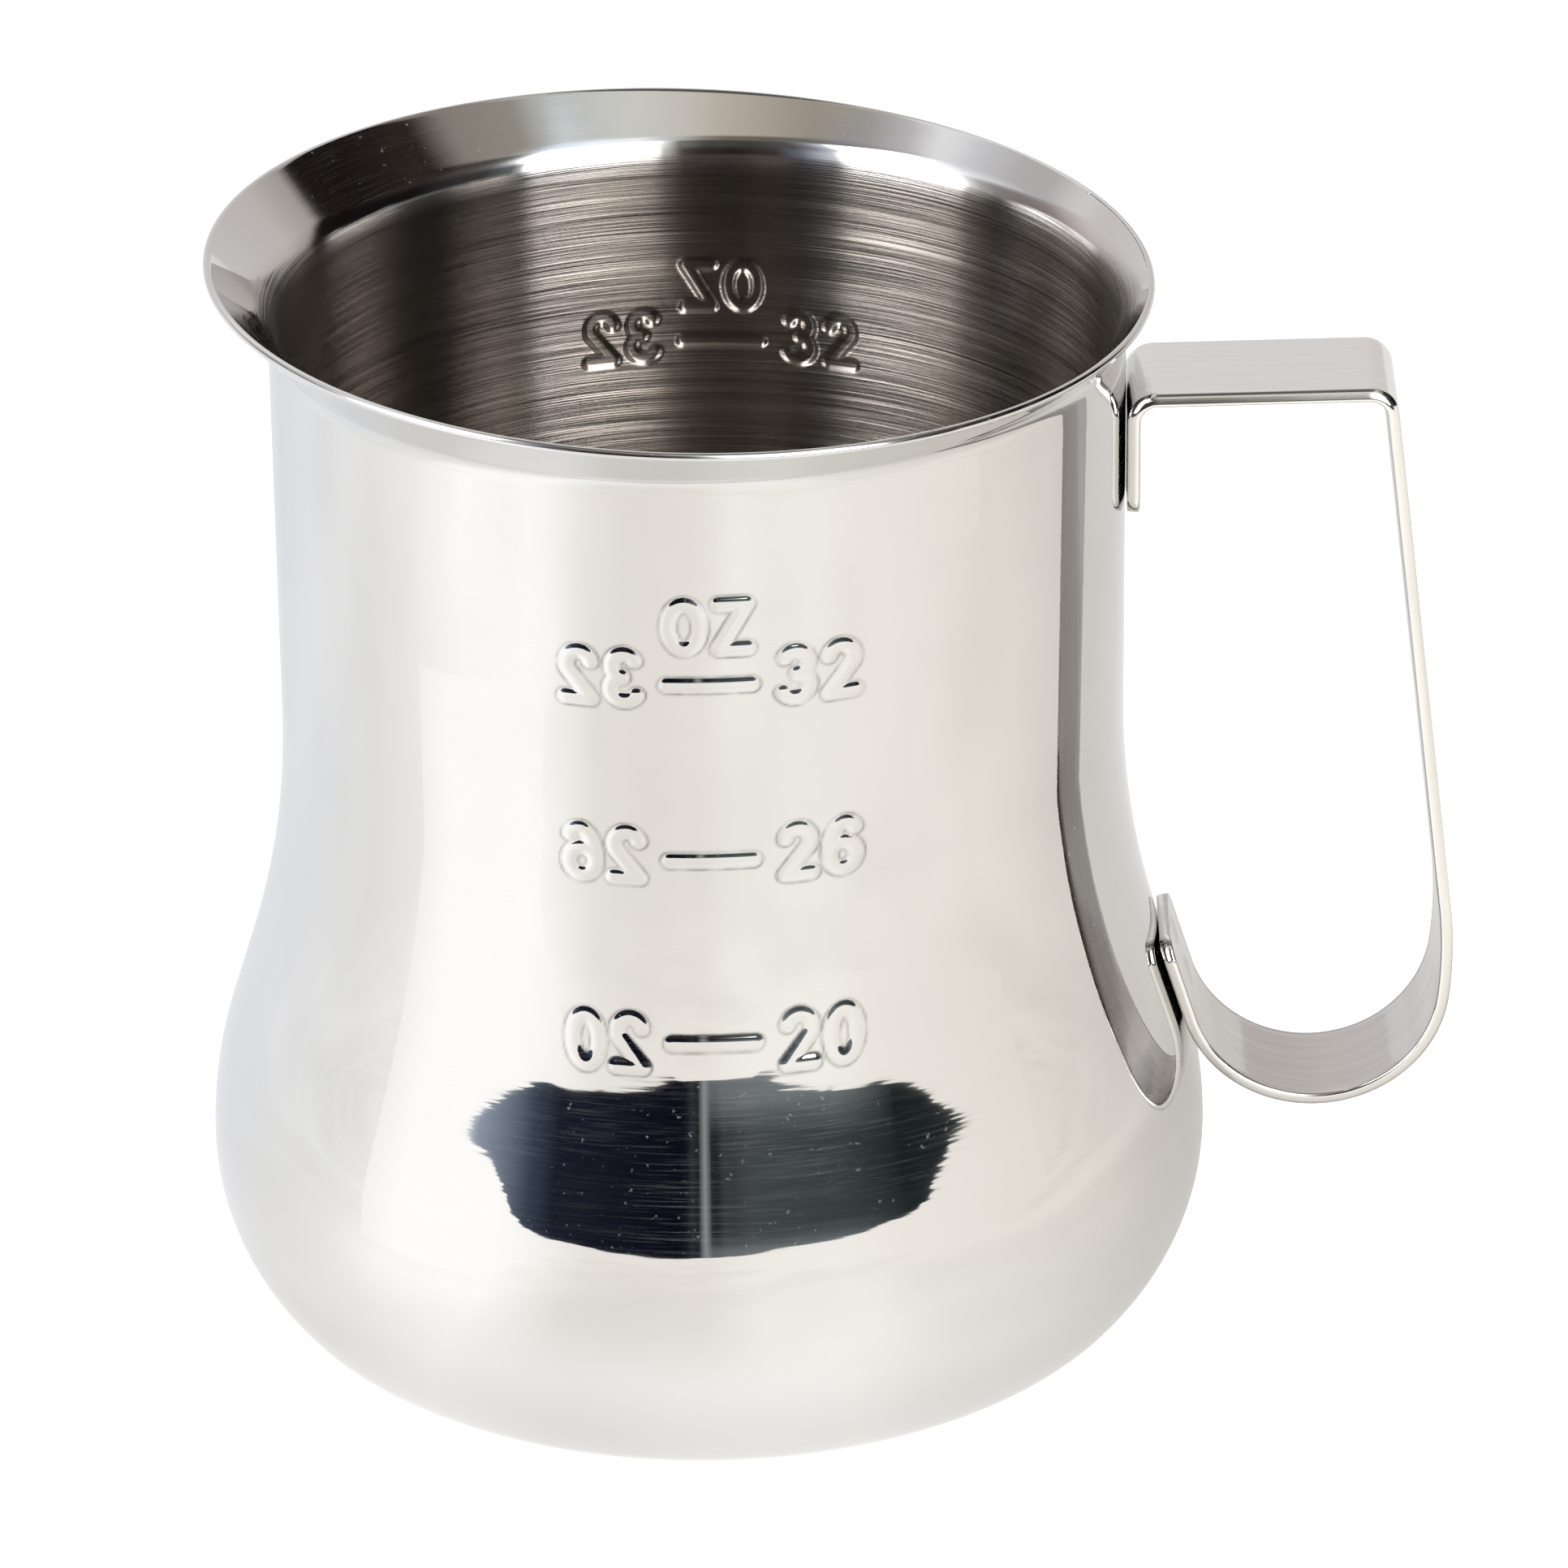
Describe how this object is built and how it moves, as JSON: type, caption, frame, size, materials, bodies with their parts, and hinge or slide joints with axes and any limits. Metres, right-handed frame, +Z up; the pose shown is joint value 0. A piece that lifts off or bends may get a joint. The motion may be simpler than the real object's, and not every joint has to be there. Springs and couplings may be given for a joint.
{
  "type": "milk frothing pitcher",
  "caption": "Bell-shaped steel milk frothing pitcher with a flared pouring lip, a straight neck over a wide belly, and a bent strip handle spot-welded to the side.",
  "frame": {"origin": "centre of the flat base, on the vessel's axis, where the pitcher rests", "axes": "+Z up along the vessel's axis, +X towards the handle; the lip reaches out a little further, and sits a little higher, towards -X"},
  "size_m": [0.1523, 0.1224, 0.1371],
  "materials": {
    "vessel_steel": "mirror-polished outside and on the lip, brushed round and round inside",
    "handle_steel": "polished strip with soft edges",
    "weld_steel": "slightly dull, dished by the welding tips"
  },
  "bodies": {
    "root": {"vessel": "vessel_steel", "handle": "handle_steel", "spot_welds": "weld_steel"}
  },
  "joints": []
}
